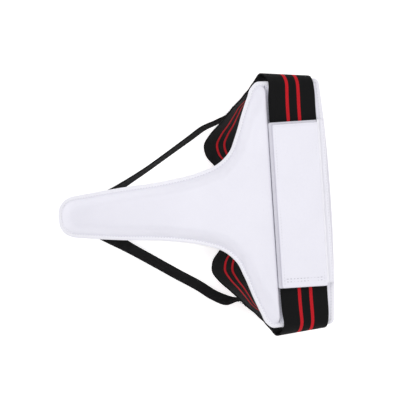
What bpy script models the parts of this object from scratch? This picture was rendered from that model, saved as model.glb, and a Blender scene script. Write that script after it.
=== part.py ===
"""Groin guard for martial arts: a padded T-shaped guard on an elastic waistband, with two elastic leg straps.

It lies face up, as on a table. +X runs from the tongue, which goes between the legs, to the waist edge.
Y runs across the hips, and the guard is symmetric about y = 0 apart from how the leg straps twist.
The waistband crosses the front of the yoke under a closure flap, folds back round both hips, and closes into a loop
behind the guard. The loop stands on the table and carries the guard's waist end, and the tongue's tip carries the other.
All lengths are in metres and all angles in degrees.
"""

import math

import bmesh
import bpy
import numpy as np
from mathutils import Vector

# ---- Driving dimensions ----
GUARD_LENGTH = 0.2912  # tip of the tongue to the waist edge, measured level
WING_HALF_WIDTH = 0.1302  # half the width over the hips, without the binding
YOKE_CORNER = 0.0045
WAIST_BOW = 0.0050  # how much shorter the guard is at its hips than at its middle
TIP_ROUND = 0.020  # length over which the tongue's end is rounded
TIP_BLUNTNESS = 2.5  # 2 is an ellipse, and more is squarer

BAND_WIDTH = 0.050
YOKE_DEPTH = BAND_WIDTH + 0.0114  # how far the yoke runs from the saddle's edge to the waist edge
BAND_THICKNESS = 0.0018
STRAP_WIDTH = 0.015
STRAP_THICKNESS = 0.0014

SKIN = 0.0011  # coated fabric of the covers
LINING = 0.0010
BINDING = 0.0008
SEAM_ALLOWANCE = 0.0035  # flat margin between the seam and the padding
BINDING_FLANGE = 0.0010  # how far the binding reaches over that margin
TIP_BINDING = 0.0300  # length of the tongue's end that the binding's tip piece wraps
COMFORT_FOAM = 0.0030
PLATE = 0.0015
CROWN_HEIGHT = 0.0170  # top of the saddle above its back
TIP_CROWN_HEIGHT = 0.0125
SHOULDER = 0.0125  # how far the saddle takes to rise from its seam to its crown
YOKE_FOAM = 0.0030
YOKE_SHOULDER = 0.0040

FLAP_SIZE = (BAND_WIDTH - 0.0016, 1.344 * WING_HALF_WIDTH)  # along the guard, and across it
FLAP_MARGIN = 0.0084  # from the flap's hinged side to the waist edge
FLAP_CORNER = 0.0020
FLAP_BACKING = 0.0008
BACKING_MARGIN = 0.0018  # how far the backing shows past the flap's free edge
FLAP_STIFFENER = 0.0010
HOOK_TAPE = (0.0160, FLAP_SIZE[1] - 0.0350, 0.0010)  # width, length and thickness
LOOP_TAPE = (0.0200, FLAP_SIZE[1] - 0.0270, 0.0010)

HIP_DROP = 0.0050  # how far each hip end bends back
FLAT_HALF_WIDTH = 0.6 * WING_HALF_WIDTH  # the guard is flat across, out to here
BEND_START = 0.0230  # the tongue starts to bend back this far from the saddle's waist side

GAP = 0.0003  # clearance between neighbouring solids
SEAM_GAP = 0.0006  # clearance between the saddle and the yoke along their shared seam
BINDING_GAP = 0.0007  # clearance between the binding and the edges it is folded over
LAYER_GAP = 0.0009  # clearance between the saddle's inner layers, which bend
FOAM_CLEARANCE = 0.0020  # room between a foam's domed top and its cover

# ---- Places that follow from them ----
TIP_X = -GUARD_LENGTH / 2
WAIST_X = GUARD_LENGTH / 2
YOKE_X = WAIST_X - YOKE_DEPTH  # the yoke's side towards the tongue
SADDLE_X = YOKE_X - SEAM_GAP  # the saddle's side towards the waist
SADDLE_LENGTH = SADDLE_X - TIP_X
FLANGE_TOP = LINING + GAP + SKIN
YOKE_TOP = LINING + GAP + YOKE_FOAM + GAP + SKIN
BINDING_BELOW = BINDING_GAP + BINDING
STANDING_BAND = BAND_WIDTH * math.sin(math.radians(79))
BACK_HEIGHT = STANDING_BAND + 0.009  # back of the yoke above the table
TONGUE_DROP = BACK_HEIGHT - BINDING_BELOW - 0.0010

# The saddle's half outline: how far along from its waist side to the tip, and how wide, as shares.
SADDLE_OUTLINE = (
    (0.000, 1.000),
    (0.030, 1.000),
    (0.056, 0.965),
    (0.078, 0.885),
    (0.107, 0.760),
    (0.148, 0.562),
    (0.180, 0.443),
    (0.245, 0.343),
    (0.330, 0.290),
    (0.490, 0.238),
    (0.710, 0.205),
    (1.000, 0.150),
)

# The waistband's fold over the hip, from the yoke's top down. Each row is the waist-side edge's x from the yoke's
# side, y past the wing's end and z from the guard's back, then how far the webbing leans from level and is skewed.
HIP_FOLD = (
    (0.0510, -0.0014, 0.0022, 0, 2),
    (0.0495, 0.0026, -0.0015, 0, 4),
    (0.0470, 0.0038, -0.0075, 1, 6),
    (0.0415, 0.0032, -0.0160, 4, 7),
    (0.0330, 0.0000, -0.0260, 20, 8),
)

# The standing loop, from its side to its middle behind the guard. Each row is the lower edge's x from the yoke's
# side, y as a share of the wing's half width and z above the table, then the lean and the skew.
STANDING_LOOP = (
    (0.0212, 0.962, 0.0160, 42, 7),
    (0.0062, 0.928, 0.0055, 62, 5),
    (-0.0108, 0.882, 0.0010, 74, 3),
    (-0.0212, 0.826, 0.0006, 76, 1),
    (-0.0248, 0.755, 0.0006, 70, 0),
    (-0.0280, 0.680, 0.0006, 62, 0),
    (-0.0330, 0.597, 0.0006, 54, 0),
    (-0.0360, 0.518, 0.0006, 49, 0),
    (-0.0335, 0.440, 0.0006, 47, 0),
    (-0.0235, 0.338, 0.0006, 46, 0),
    (-0.0140, 0.180, 0.0006, 46, 0),
    (-0.0110, 0.000, 0.0006, 46, 0),
)
FRONT_ROWS = 40  # stations of the waistband from its middle to where it leaves the yoke's top
SIDE_ROWS = 58  # and on to the start of the rigid part of the loop
ALL_ROWS = 96  # and on to its middle behind the guard
STRAP_SEAT = (63, 61, 60)  # stations on the loop that each leg strap's end is sewn along
SEAT_ACROSS = 0.30  # where the strap's middle lies on the band, from its tongue-side edge

# A leg strap's middle line, from under the tongue to near the waistband: x as a share of the way from the tip to the
# yoke, y as a share of the wing's half width, z as a share of the standing loop's height (or None, against the
# tongue's back), and the twist from level. The right strap is pulled further out and lies flatter.
LEFT_STRAP = (
    (0.126, 0.075, None, 0),
    (0.180, 0.116, None, 0),
    (0.238, 0.167, None, 6),
    (0.318, 0.246, 0.380, 60),
    (0.425, 0.353, 0.430, 72),
    (0.542, 0.482, 0.480, 72),
    (0.637, 0.588, 0.530, 70),
    (0.702, 0.661, 0.570, 70),
    (0.775, 0.712, 0.630, 74),
)
RIGHT_STRAP = (
    (0.126, 0.075, None, 0),
    (0.180, 0.125, None, 0),
    (0.238, 0.184, None, 4),
    (0.318, 0.278, 0.380, 40),
    (0.425, 0.398, 0.430, 44),
    (0.542, 0.530, 0.480, 44),
    (0.637, 0.634, 0.530, 44),
    (0.702, 0.706, 0.570, 50),
    (0.765, 0.752, 0.620, 62),
)


def smooth_rows(rows, count):
    """count rows, evenly spaced on a smooth curve through the given rows, whose first three numbers are a point."""
    rows = np.array(rows, float)
    steps = np.linalg.norm(np.diff(rows[:, :3], axis=0), axis=1)
    knots = np.concatenate([[0], np.cumsum(steps)])
    slopes = np.gradient(rows, knots, axis=0)
    at = np.linspace(0, knots[-1], count)
    k = np.clip(np.searchsorted(knots, at, side="right") - 1, 0, len(rows) - 2)
    span = (knots[k + 1] - knots[k])[:, None]
    t = (at - knots[k])[:, None] / span
    return (
        (2 * t**3 - 3 * t**2 + 1) * rows[k]
        + (t**3 - 2 * t**2 + t) * span * slopes[k]
        + (3 * t**2 - 2 * t**3) * rows[k + 1]
        + (t**3 - t**2) * span * slopes[k + 1]
    )


def saddle_outline():
    """Points (x, half width) of the saddle from the tip to its waist side."""
    shares = smooth_rows([(along, wide, 0) for along, wide in SADDLE_OUTLINE], 240)
    x = SADDLE_X - shares[::-1, 0] * SADDLE_LENGTH
    half = shares[::-1, 1] * WING_HALF_WIDTH
    near = np.clip((x - TIP_X) / TIP_ROUND, 0, 1)
    half = half * (1 - (1 - near) ** TIP_BLUNTNESS) ** (1 / TIP_BLUNTNESS)
    return np.column_stack([x, half])


def yoke_outline():
    """Points (x, half width) of the yoke from the saddle's side to the waist edge, with a rounded corner."""
    turn = np.radians(np.linspace(0, 88, 12))
    corner = np.column_stack(
        [
            WAIST_X - YOKE_CORNER + YOKE_CORNER * np.sin(turn),
            WING_HALF_WIDTH - YOKE_CORNER + YOKE_CORNER * np.cos(turn),
        ]
    )
    side = np.linspace(YOKE_X, WAIST_X - YOKE_CORNER, 16, endpoint=False)
    return np.vstack([np.column_stack([side, np.full(16, WING_HALF_WIDTH)]), corner])


def moved_in(outline, inset):
    """The half outline moved inwards, for a layer that stops short of the seam."""
    ahead = np.gradient(outline, axis=0)
    ahead /= np.linalg.norm(ahead, axis=1)[:, None]
    inner = outline + inset * np.column_stack([ahead[:, 1], -ahead[:, 0]])
    low, high = outline[0, 0] + inset, outline[-1, 0] - inset
    inner = inner[(inner[:, 0] > low) & (inner[:, 0] < high) & (inner[:, 1] > 0)]
    order = np.argsort(inner[:, 0])
    return inner[order]


def width_at(outline, x):
    return float(np.interp(x, outline[:, 0], outline[:, 1]))


def even_stations(outline, count, margins=()):
    """count x values evenly spaced along the half outline, the last ones replaced by margins from its waist side."""
    lengths = np.concatenate([[0], np.cumsum(np.linalg.norm(np.diff(outline, axis=0), axis=1))])
    # The first station is a little way in, so that the tip is a short blunt edge and not a point.
    wanted = np.linspace(0.3 * outline[-1, 1] / count, lengths[-1], count)
    even = np.interp(wanted, lengths, outline[:, 0])
    edge = outline[-1, 0] - np.array(sorted(margins, reverse=True))
    if not len(edge):
        return even
    return np.concatenate([even[even < edge[0] - 0.002], edge])


def edge_distance(outline):
    """A function of x and y: the distance to the side outline."""
    start, end = outline[:-1], outline[1:]
    side = end - start
    squared = np.maximum((side**2).sum(axis=1), 1e-12)

    def distance(x, y):
        point = np.array([x, abs(y)])
        along = np.clip(((point - start) * side).sum(axis=1) / squared, 0, 1)
        return float(np.linalg.norm(start + along[:, None] * side - point, axis=1).min())

    return distance


def bowed(x, y):
    """x moved towards the tongue, more so at the hips and at the waist edge, where the waist edge curves."""
    share = min(max((x - YOKE_X) / YOKE_DEPTH, 0.0), 1.0)
    return x - WAIST_BOW * share * (y / WING_HALF_WIDTH) ** 2


def back_height(x, y):
    """Height of the guard's back above the table: flat at the yoke, bent down at the hips and along the tongue."""
    hip = max(0.0, abs(y) - FLAT_HALF_WIDTH) / (WING_HALF_WIDTH - FLAT_HALF_WIDTH)
    bend_x = SADDLE_X - BEND_START
    tongue = max(0.0, bend_x - x) / (bend_x - TIP_X)
    return BACK_HEIGHT - HIP_DROP * hip - TONGUE_DROP * tongue**2


def ease(t):
    """A rounded rise from 0 to 1."""
    return math.sin(math.pi / 2 * min(max(t, 0.0), 1.0)) ** 0.75


def crown(x):
    """Full height of the saddle above its back: lower towards the tip."""
    share = min(max((x - TIP_X) / (0.45 * SADDLE_LENGTH), 0.0), 1.0)
    return TIP_CROWN_HEIGHT + (CROWN_HEIGHT - TIP_CROWN_HEIGHT) * ease(share)


# ---- Making solids ----
def material(name, colour, roughness):
    """A Principled BSDF with a plain colour."""
    made = bpy.data.materials.get(name)
    if made:
        return made
    made = bpy.data.materials.new(name)
    made.use_nodes = True
    shader = made.node_tree.nodes["Principled BSDF"]
    shader.inputs["Base Color"].default_value = (*colour, 1)
    shader.inputs["Roughness"].default_value = roughness
    shader.inputs["Metallic"].default_value = 0
    return made


def white_leather():
    return material("white_leather", (0.84, 0.83, 0.90), 0.42)


def white_lining():
    return material("white_lining", (0.78, 0.78, 0.82), 0.85)


def foam():
    return material("foam", (0.70, 0.71, 0.74), 0.95)


def plate_plastic():
    return material("plate_plastic", (0.80, 0.80, 0.78), 0.50)


def black_elastic():
    return material("black_elastic", (0.010, 0.010, 0.010), 0.80)


def tape_white():
    return material("hook_and_loop", (0.82, 0.82, 0.84), 0.90)


def finished(name, bm, surface, collection):
    """Turns a bmesh into a named object with flat or smooth faces by angle."""
    bmesh.ops.recalc_face_normals(bm, faces=bm.faces[:])
    mesh = bpy.data.meshes.new(name)
    bm.to_mesh(mesh)
    bm.free()
    mesh.materials.append(surface)
    mesh.shade_smooth()
    mesh.set_sharp_from_angle(angle=math.radians(40))
    made = bpy.data.objects.new(name, mesh)
    collection.objects.link(made)
    return made


def grid(cells):
    """A bmesh grid whose x and y run from 0 to 1."""
    bm = bmesh.new()
    bmesh.ops.create_grid(bm, x_segments=cells[0], y_segments=cells[1], size=0.5)
    bmesh.ops.translate(bm, verts=bm.verts[:], vec=(0.5, 0.5, 0))
    return bm


DOMED_COLUMNS = (0.0, 0.0034, 0.0054, 0.0085, 0.0125, 0.0170)  # columns this far in from each side
FLAT_COLUMNS = (0.0,)
INNER_COLUMNS = (-0.8, -0.4, 0.0, 0.4, 0.8)  # and between those, as shares
WAIST_MARGINS = (0.0, 0.0034, 0.0054, 0.0085, 0.0125, 0.0170)  # stations this far in from the waist side


def columns(half, insets):
    """The y of each column where the layer is half wide to either side. One follows the bend line of each hip."""
    squeeze = min(1.0, half / (1.25 * insets[-1])) if insets[-1] else 1.0
    sides = [half - squeeze * inset for inset in insets]
    inner = [np.clip(share * sides[-1], -FLAT_HALF_WIDTH, FLAT_HALF_WIDTH) for share in INNER_COLUMNS]
    return [-y for y in sides] + inner + sides[::-1]


def layer(name, outline, bottom, top, stations, surface, collection, insets=FLAT_COLUMNS):
    """A closed solid over a mirrored half outline, between two height functions of x and y above the back."""
    rows = [columns(width_at(outline, x), insets) for x in stations]
    row_cells, column_cells = len(stations) - 1, len(rows[0]) - 1
    bm = grid((row_cells, column_cells))
    bmesh.ops.solidify(bm, geom=bm.verts[:] + bm.edges[:] + bm.faces[:], thickness=1)
    middle = sum(v.co.z for v in bm.verts) / len(bm.verts)
    for vert in bm.verts:
        height = top if vert.co.z > middle else bottom
        row = round(vert.co.x * row_cells)
        x, y = stations[row], rows[row][round(vert.co.y * column_cells)]
        vert.co = (bowed(x, y), y, back_height(x, y) + height(x, y))
    return finished(name, bm, surface, collection)


def cover(name, outline, top, stations, collection):
    """A skin of even depth under the height function top."""
    layer(
        name,
        outline,
        lambda x, y: top(x, y) - SKIN,
        top,
        stations,
        white_leather(),
        collection,
        DOMED_COLUMNS,
    )


def thicken(sheet, thickness, offset):
    """Solidify: offset -1 grows against the normals, 0 both ways and 1 along them."""
    modifier = sheet.modifiers.new("thickness", "SOLIDIFY")
    modifier.thickness = thickness
    modifier.offset = offset
    modifier.use_even_offset = True
    modifier.use_quality_normals = True


def ribbon(name, edges, columns, thickness, surface, collection):
    """Webbing between two edges: each row of edges is a point of one edge, then the point across from it."""
    rows = len(edges)
    bm = grid((rows - 1, columns))
    for vert in bm.verts:
        row = edges[round(vert.co.x * (rows - 1))]
        near, far = Vector(row[:3]), Vector(row[3:6])
        vert.co = near.lerp(far, vert.co.y)
    made = finished(name, bm, surface, collection)
    thicken(made, thickness, 0)
    return made


def plate(name, size, corner, centre, surface, collection):
    """A flat rectangular piece with rounded corners: size and centre are x, y and z."""
    curve = bpy.data.curves.new(name, "CURVE")
    curve.dimensions = "2D"
    curve.fill_mode = "BOTH"
    curve.extrude = size[2] / 2
    line = curve.splines.new("POLY")
    turns = [
        (sx, sy, start + step * 30)
        for sx, sy, start in ((1, 1, 0), (-1, 1, 90), (-1, -1, 180), (1, -1, 270))
        for step in range(4)
    ]
    line.points.add(len(turns) - 1)
    line.use_cyclic_u = True
    for point, (sx, sy, angle) in zip(line.points, turns, strict=True):
        point.co = (
            sx * (size[0] / 2 - corner) + corner * math.cos(math.radians(angle)),
            sy * (size[1] / 2 - corner) + corner * math.sin(math.radians(angle)),
            0,
            1,
        )
    curve.materials.append(surface)
    made = bpy.data.objects.new(name, curve)
    made.location = centre
    collection.objects.link(made)
    return made


# ---- The guard's body ----
def saddle_top(distance, moved=0.0, lowered=0.0):
    """Height function of the saddle's cover, or of the foam under it: moved in from the seams, and lowered."""
    margin = SEAM_ALLOWANCE + moved

    def height(x, y):
        rise = ease((distance(x, y) - margin) / SHOULDER) * ease((SADDLE_X - x - margin) / SHOULDER)
        return FLANGE_TOP + (crown(x) - FLANGE_TOP) * rise - lowered

    return height


def yoke_top(distance):
    """Height function of the yoke's cover: a flat seam allowance, a short rise and a flat top."""

    def height(x, y):
        inset = min(distance(x, y), x - YOKE_X, WAIST_X - x) - SEAM_ALLOWANCE
        return FLANGE_TOP + (YOKE_TOP - FLANGE_TOP) * ease(inset / YOKE_SHOULDER)

    return height


def level(value):
    """A height function that is the same all over."""
    return lambda x, y: value


def make_body(collection):
    saddle, yoke = saddle_outline(), yoke_outline()
    saddle_stations = even_stations(saddle, 34, WAIST_MARGINS)
    yoke_starts = YOKE_X + np.array(WAIST_MARGINS)
    yoke_ends = WAIST_X - np.array(sorted([*WAIST_MARGINS, 0.13 * YOKE_CORNER, 0.43 * YOKE_CORNER], reverse=True))
    yoke_stations = np.concatenate([yoke_starts, yoke_ends])
    body = np.vstack([saddle, yoke])
    body_stations = np.concatenate([saddle_stations[:-1], yoke_stations])
    from_saddle = edge_distance(saddle)
    from_yoke = edge_distance(yoke)

    layer("back_lining", body, level(0), level(LINING), body_stations, white_lining(), collection)
    cover("saddle_cover", saddle, saddle_top(from_saddle), saddle_stations, collection)
    cover("yoke_cover", yoke, yoke_top(from_yoke), yoke_stations, collection)
    make_fillings(saddle, yoke, from_saddle, collection)
    make_binding(body, body_stations, collection)


def make_fillings(saddle, yoke, from_saddle, collection):
    """Foam against the wearer, the plate that spreads a blow, the foam dome over it, and the yoke's thin foam."""
    bottom = LINING + LAYER_GAP
    inset = SEAM_ALLOWANCE + 0.0045
    outline = moved_in(saddle, inset)
    stations = even_stations(outline, 24)
    top = bottom + COMFORT_FOAM
    layer("comfort_foam", outline, level(bottom), level(top), stations, foam(), collection)

    inset += 0.0040
    bottom = top + LAYER_GAP
    outline = moved_in(saddle, inset)
    stations = even_stations(outline, 24)
    top = bottom + PLATE
    layer("impact_plate", outline, level(bottom), level(top), stations, plate_plastic(), collection)

    outline = moved_in(saddle, inset + 0.0008)
    stations = even_stations(outline, 26)
    clearance = SKIN + FOAM_CLEARANCE
    dome = saddle_top(from_saddle, moved=clearance, lowered=clearance)
    bottom = top + LAYER_GAP
    layer("saddle_foam", outline, level(bottom), dome, stations, foam(), collection, DOMED_COLUMNS)

    outline = moved_in(yoke, SEAM_ALLOWANCE + YOKE_SHOULDER + 0.0020)
    stations = even_stations(outline, 8)
    bottom = LINING + GAP
    layer("yoke_foam", outline, level(bottom), level(bottom + YOKE_FOAM), stations, foam(), collection)


def outward_offsets(loop):
    """At each corner of a closed loop of points, the move that shifts both its sides outwards by 1."""
    ahead = np.roll(loop, -1, axis=0) - loop
    ahead /= np.linalg.norm(ahead, axis=1)[:, None]
    after = np.column_stack([-ahead[:, 1], ahead[:, 0]])
    before = np.roll(after, 1, axis=0)
    return (before + after) / (1 + (before * after).sum(axis=1))[:, None]


def make_binding(outline, stations, collection):
    """The tape folded over the raw edges: a piece round the tongue's tip, which lies on the table, and the rest."""
    low, high = -BINDING_GAP, FLANGE_TOP + BINDING_GAP
    profile = (
        (-BINDING_FLANGE, low - BINDING),
        (GAP + BINDING, low - BINDING),
        (GAP + BINDING, high + BINDING),
        (-BINDING_FLANGE, high + BINDING),
        (-BINDING_FLANGE, high),
        (GAP, high),
        (GAP, low),
        (-BINDING_FLANGE, low),
    )
    half = [(x, width_at(outline, x)) for x in stations]
    half += [(WAIST_X, share * FLAT_HALF_WIDTH) for share in (1.3, 1.0, 0.66, 0.33)]
    half = np.array(half)
    loop = np.vstack([half, [(WAIST_X, 0)], half[::-1] * (1, -1)])
    outward = outward_offsets(loop)
    sections = []
    for place, direction in zip(loop, outward, strict=True):
        flat = [(*(place + direction * across), up) for across, up in profile]
        sections.append([(bowed(x, y), y, back_height(x, y) + up) for x, y, up in flat])
    sections = np.array(sections)
    split = int(np.searchsorted(half[:, 0], TIP_X + TIP_BINDING))
    tip_run = np.arange(-split - 1, split + 1)
    other_run = np.arange(split, len(loop) - split)
    folded_tape("tip_binding", sections[tip_run], collection)
    folded_tape("edge_binding", sections[other_run], collection)


def folded_tape(name, sections, collection):
    """A strip through closed sections, with both its ends moved in by half of GAP."""
    for end, inner in ((0, 1), (-1, -2)):
        step = (sections[inner] - sections[end]).mean(axis=0)
        sections[end] += step * GAP / 2 / np.linalg.norm(step)
    rows, corners = len(sections) - 1, sections.shape[1]
    bm = grid((rows, corners))
    for vert in bm.verts:
        vert.co = sections[round(vert.co.x * rows), round(vert.co.y * corners) % corners]
    bmesh.ops.remove_doubles(bm, verts=bm.verts[:], dist=1e-6)
    bmesh.ops.holes_fill(bm, edges=[edge for edge in bm.edges if edge.is_boundary], sides=0)
    return finished(name, bm, white_leather(), collection)


# ---- The closure ----
FLAP_X = WAIST_X - FLAP_MARGIN - FLAP_SIZE[0] / 2
BAND_X = FLAP_X - 0.0016
BAND_LEVEL = YOKE_TOP + GAP + BAND_THICKNESS / 2
BAND_TOP = BAND_LEVEL + BAND_THICKNESS / 2
LOOP_TAPE_LEVEL = BAND_TOP + GAP + LOOP_TAPE[2] / 2
HOOK_TAPE_LEVEL = LOOP_TAPE_LEVEL + LOOP_TAPE[2] / 2 + GAP + HOOK_TAPE[2] / 2
FLAP_BACKING_LEVEL = HOOK_TAPE_LEVEL + HOOK_TAPE[2] / 2 + GAP + FLAP_BACKING / 2
FLAP_STIFFENER_LEVEL = FLAP_BACKING_LEVEL + FLAP_BACKING / 2 + GAP + FLAP_STIFFENER / 2
FLAP_COVER_LEVEL = FLAP_STIFFENER_LEVEL + FLAP_STIFFENER / 2 + GAP + SKIN / 2
FLAP_PIVOT = (FLAP_X + FLAP_SIZE[0] / 2 + 0.0011, FLAP_STIFFENER_LEVEL)
TAPE_INSET = 0.0020  # the fastening tapes stop this far from the flap's free edge


def make_closure(collection):
    tape_x = FLAP_X - FLAP_SIZE[0] / 2 + TAPE_INSET
    plates = (
        ("waistband_loop_tape", LOOP_TAPE, LOOP_TAPE_LEVEL, tape_white()),
        ("flap_hook_tape", HOOK_TAPE, HOOK_TAPE_LEVEL, tape_white()),
    )
    for name, size, up, surface in plates:
        centre = (tape_x + size[0] / 2, 0, BACK_HEIGHT + up)
        plate(name, size, 0.0015, centre, surface, collection)
    inner = (FLAP_SIZE[0] - 0.0060, FLAP_SIZE[1] - 0.0060, FLAP_STIFFENER)
    wider = (FLAP_SIZE[0] + BACKING_MARGIN, FLAP_SIZE[1], FLAP_BACKING)
    layers = (
        ("flap_backing", wider, FLAP_X - BACKING_MARGIN / 2, FLAP_BACKING_LEVEL, white_lining()),
        ("flap_stiffener", inner, FLAP_X, FLAP_STIFFENER_LEVEL, foam()),
        ("flap_cover", (*FLAP_SIZE, SKIN), FLAP_X, FLAP_COVER_LEVEL, white_leather()),
    )
    for name, size, x, up, surface in layers:
        plate(name, size, FLAP_CORNER, (x, 0, BACK_HEIGHT + up), surface, collection)
    make_hinge_tape(collection)


def make_hinge_tape(collection):
    """The strip that joins the flap's waist side to the yoke: a foot on the yoke and an upright wall."""
    foot = 0.0060
    wall_top = FLAP_PIVOT[1] - 0.0022
    half = FLAP_SIZE[1] / 2 - 0.0010
    low = YOKE_TOP + GAP + BINDING / 2
    corners = (
        (FLAP_PIVOT[0] + foot, low),
        (FLAP_PIVOT[0], low),
        (FLAP_PIVOT[0], wall_top),
    )
    bm = grid((2, 1))
    for vert in bm.verts:
        x, up = corners[round(vert.co.x * 2)]
        vert.co = (x, half * (2 * vert.co.y - 1), BACK_HEIGHT + up)
    made = finished("flap_hinge_tape", bm, white_leather(), collection)
    thicken(made, BINDING, 0)
    return made


# ---- The waistband ----
def across_band(x, y, z, lean, skew):
    """Both edges of the waistband: the waist-side edge is given, with how the webbing leans and is skewed."""
    lean, skew = math.radians(lean), math.radians(skew)
    waist_side = Vector((YOKE_X + x, y, z))
    level_part = math.cos(lean)
    direction = Vector((level_part * math.cos(skew), -level_part * math.sin(skew), -math.sin(lean)))
    tongue_side = waist_side - BAND_WIDTH * direction
    return (*tongue_side, *waist_side)


def front_row(y):
    """Both edges of the waistband where it lies on the yoke."""
    up = back_height(BAND_X, y) + BAND_LEVEL
    half = BAND_WIDTH / 2
    return (BAND_X - half, y, up, BAND_X + half, y, up)


def waistband_rows():
    """The band's left half from the middle of the closure to its middle behind the guard, at evenly spaced stations."""
    on_yoke = (0, LOOP_TAPE[1] / 2, FLAT_HALF_WIDTH, WING_HALF_WIDTH - 0.029, WING_HALF_WIDTH - 0.0105)
    rows = [front_row(y) for y in on_yoke]
    rows += [
        across_band(x, WING_HALF_WIDTH + y, BACK_HEIGHT + z, lean, skew) for x, y, z, lean, skew in HIP_FOLD
    ]
    rows += [across_band(x, y * WING_HALF_WIDTH, z, lean, skew) for x, y, z, lean, skew in STANDING_LOOP]
    return smooth_rows(rows, ALL_ROWS + 1)


def mirrored(half):
    """The whole row list of a symmetric ribbon, from its left half that starts or ends at y = 0."""
    half = np.array(half)
    other = half[::-1] * (1, -1, 1, 1, -1, 1)
    if abs(half[0, 1]) < 1e-9:
        return np.vstack([other[:-1], half])
    return np.vstack([half, other[1:]])


def shortened(rows, at_start, at_end):
    """The rows with an end row moved in by GAP, so that the pieces on either side of a split stay apart."""
    rows = rows.copy()
    for wanted, end, inner in ((at_start, 0, 1), (at_end, -1, -2)):
        if wanted:
            step = rows[inner] - rows[end]
            rows[end] += step * GAP / np.linalg.norm(step[:3])
    return rows


def make_waistband(rows, collection):
    front = shortened(rows[: FRONT_ROWS + 1], False, True)
    side = shortened(rows[FRONT_ROWS : SIDE_ROWS + 1], True, True)
    rear = shortened(rows[SIDE_ROWS:], True, False)
    runs = (
        ("waistband_front", mirrored(front)),
        ("waistband_side_left", side),
        ("waistband_side_right", side * (1, -1, 1, 1, -1, 1)),
        ("waistband_rear", mirrored(rear)),
    )
    for name, run in runs:
        ribbon(name, run, 2, BAND_THICKNESS, black_elastic(), collection)


# ---- The leg straps ----
def strap_key(place, ahead, twist, side):
    """Both edges of a leg strap that passes place towards ahead, twisted from level."""
    ahead = ahead / np.linalg.norm(ahead)
    flat = np.cross((0, 0, 1), ahead)
    flat /= np.linalg.norm(flat)
    upright = np.cross(ahead, flat)
    turn = side * math.radians(twist)
    across = flat * math.cos(turn) + upright * math.sin(turn)
    return (*(place - across * STRAP_WIDTH / 2), *(place + across * STRAP_WIDTH / 2))


def sewn_on_band(rows, station, side):
    """Both edges of a leg strap where it lies against the outer face of the waistband's loop."""
    flip = np.array((1, side, 1))
    near, far = rows[station, :3] * flip, rows[station, 3:] * flip
    towards_hip = (rows[station - 1, :3] - rows[station + 1, :3]) * flip
    across = (far - near) / np.linalg.norm(far - near)
    outward = np.cross(towards_hip, across)
    outward /= np.linalg.norm(outward)
    outward *= -math.copysign(1, outward[0])
    place = near + SEAT_ACROSS * (far - near) + outward * (BAND_THICKNESS / 2 + 2 * GAP + STRAP_THICKNESS / 2)
    half = across * STRAP_WIDTH / 2 * side
    return (*(place + half), *(place - half))


def under_tongue(key):
    """The key with both edges laid against the tongue's back, clear of the binding."""
    under = BINDING_BELOW + 3 * GAP + STRAP_THICKNESS / 2
    x0, y0, _, x1, y1, _ = key
    return (x0, y0, back_height(x0, y0) - under, x1, y1, back_height(x1, y1) - under)


def strap_rows(band_rows, table, side):
    """Both edges of a leg strap: side is 1 for the left one and -1 for the right."""
    middle = []
    for along, wide, up, _ in table:
        x, y = TIP_X + along * (YOKE_X - TIP_X), side * wide * WING_HALF_WIDTH
        middle.append((x, y, back_height(x, y) if up is None else up * STANDING_BAND))
    middle = np.array(middle)
    ahead = np.gradient(middle, axis=0)
    keys = []
    for place, direction, row in zip(middle, ahead, table, strict=True):
        key = strap_key(place, direction, row[3], side)
        keys.append(under_tongue(key) if row[2] is None else key)
    keys += [sewn_on_band(band_rows, station, side) for station in STRAP_SEAT]
    return smooth_rows(keys, 44)


def make_leg_straps(band_rows, collection):
    straps = (("leg_strap_left", LEFT_STRAP, 1), ("leg_strap_right", RIGHT_STRAP, -1))
    for name, table, side in straps:
        rows = strap_rows(band_rows, table, side)
        ribbon(name, rows, 2, STRAP_THICKNESS, black_elastic(), collection)


def main():
    for old in list(bpy.data.objects):
        bpy.data.objects.remove(old, do_unlink=True)
    guard = bpy.data.collections.new("groin_guard")
    bpy.context.scene.collection.children.link(guard)
    band_rows = waistband_rows()
    make_body(guard)
    make_closure(guard)
    make_waistband(band_rows, guard)
    make_leg_straps(band_rows, guard)


main()
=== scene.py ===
"""Looks of a groin guard for martial arts: padded white covers, an elastic waistband with two red stripes, a closure
flap over it and two leg straps. It lies face up, with its tongue to -X and its waist edge to +X, in metres."""

import math

import bmesh
import bpy
import numpy as np
from mathutils import Matrix, Vector


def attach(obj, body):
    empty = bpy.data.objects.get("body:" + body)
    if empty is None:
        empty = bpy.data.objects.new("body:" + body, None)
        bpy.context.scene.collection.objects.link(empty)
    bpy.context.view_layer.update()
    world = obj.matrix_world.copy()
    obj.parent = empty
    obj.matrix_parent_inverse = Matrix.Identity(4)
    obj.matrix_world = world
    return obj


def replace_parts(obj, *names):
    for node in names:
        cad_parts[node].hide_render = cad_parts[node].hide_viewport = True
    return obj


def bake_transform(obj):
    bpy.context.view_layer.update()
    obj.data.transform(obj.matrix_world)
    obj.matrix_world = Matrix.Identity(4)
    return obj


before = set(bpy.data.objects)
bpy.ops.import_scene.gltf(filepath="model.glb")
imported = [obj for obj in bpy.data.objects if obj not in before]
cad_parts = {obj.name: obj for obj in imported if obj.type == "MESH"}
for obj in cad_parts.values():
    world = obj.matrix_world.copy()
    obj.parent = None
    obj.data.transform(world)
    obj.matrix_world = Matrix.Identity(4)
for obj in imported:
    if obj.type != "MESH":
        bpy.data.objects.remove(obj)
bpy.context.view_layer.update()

# ---- Sizes, as in the CAD part ----
GUARD_LENGTH = 0.2912
WING_HALF_WIDTH = 0.1302
YOKE_DEPTH = 0.0614
YOKE_CORNER = 0.0045
WAIST_BOW = 0.0050
TIP_ROUND = 0.020
TIP_BLUNTNESS = 2.5
BAND_WIDTH = 0.050
BAND_THICKNESS = 0.0018
STRAP_WIDTH = 0.015
STRAP_THICKNESS = 0.0014
SKIN = 0.0011
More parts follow.
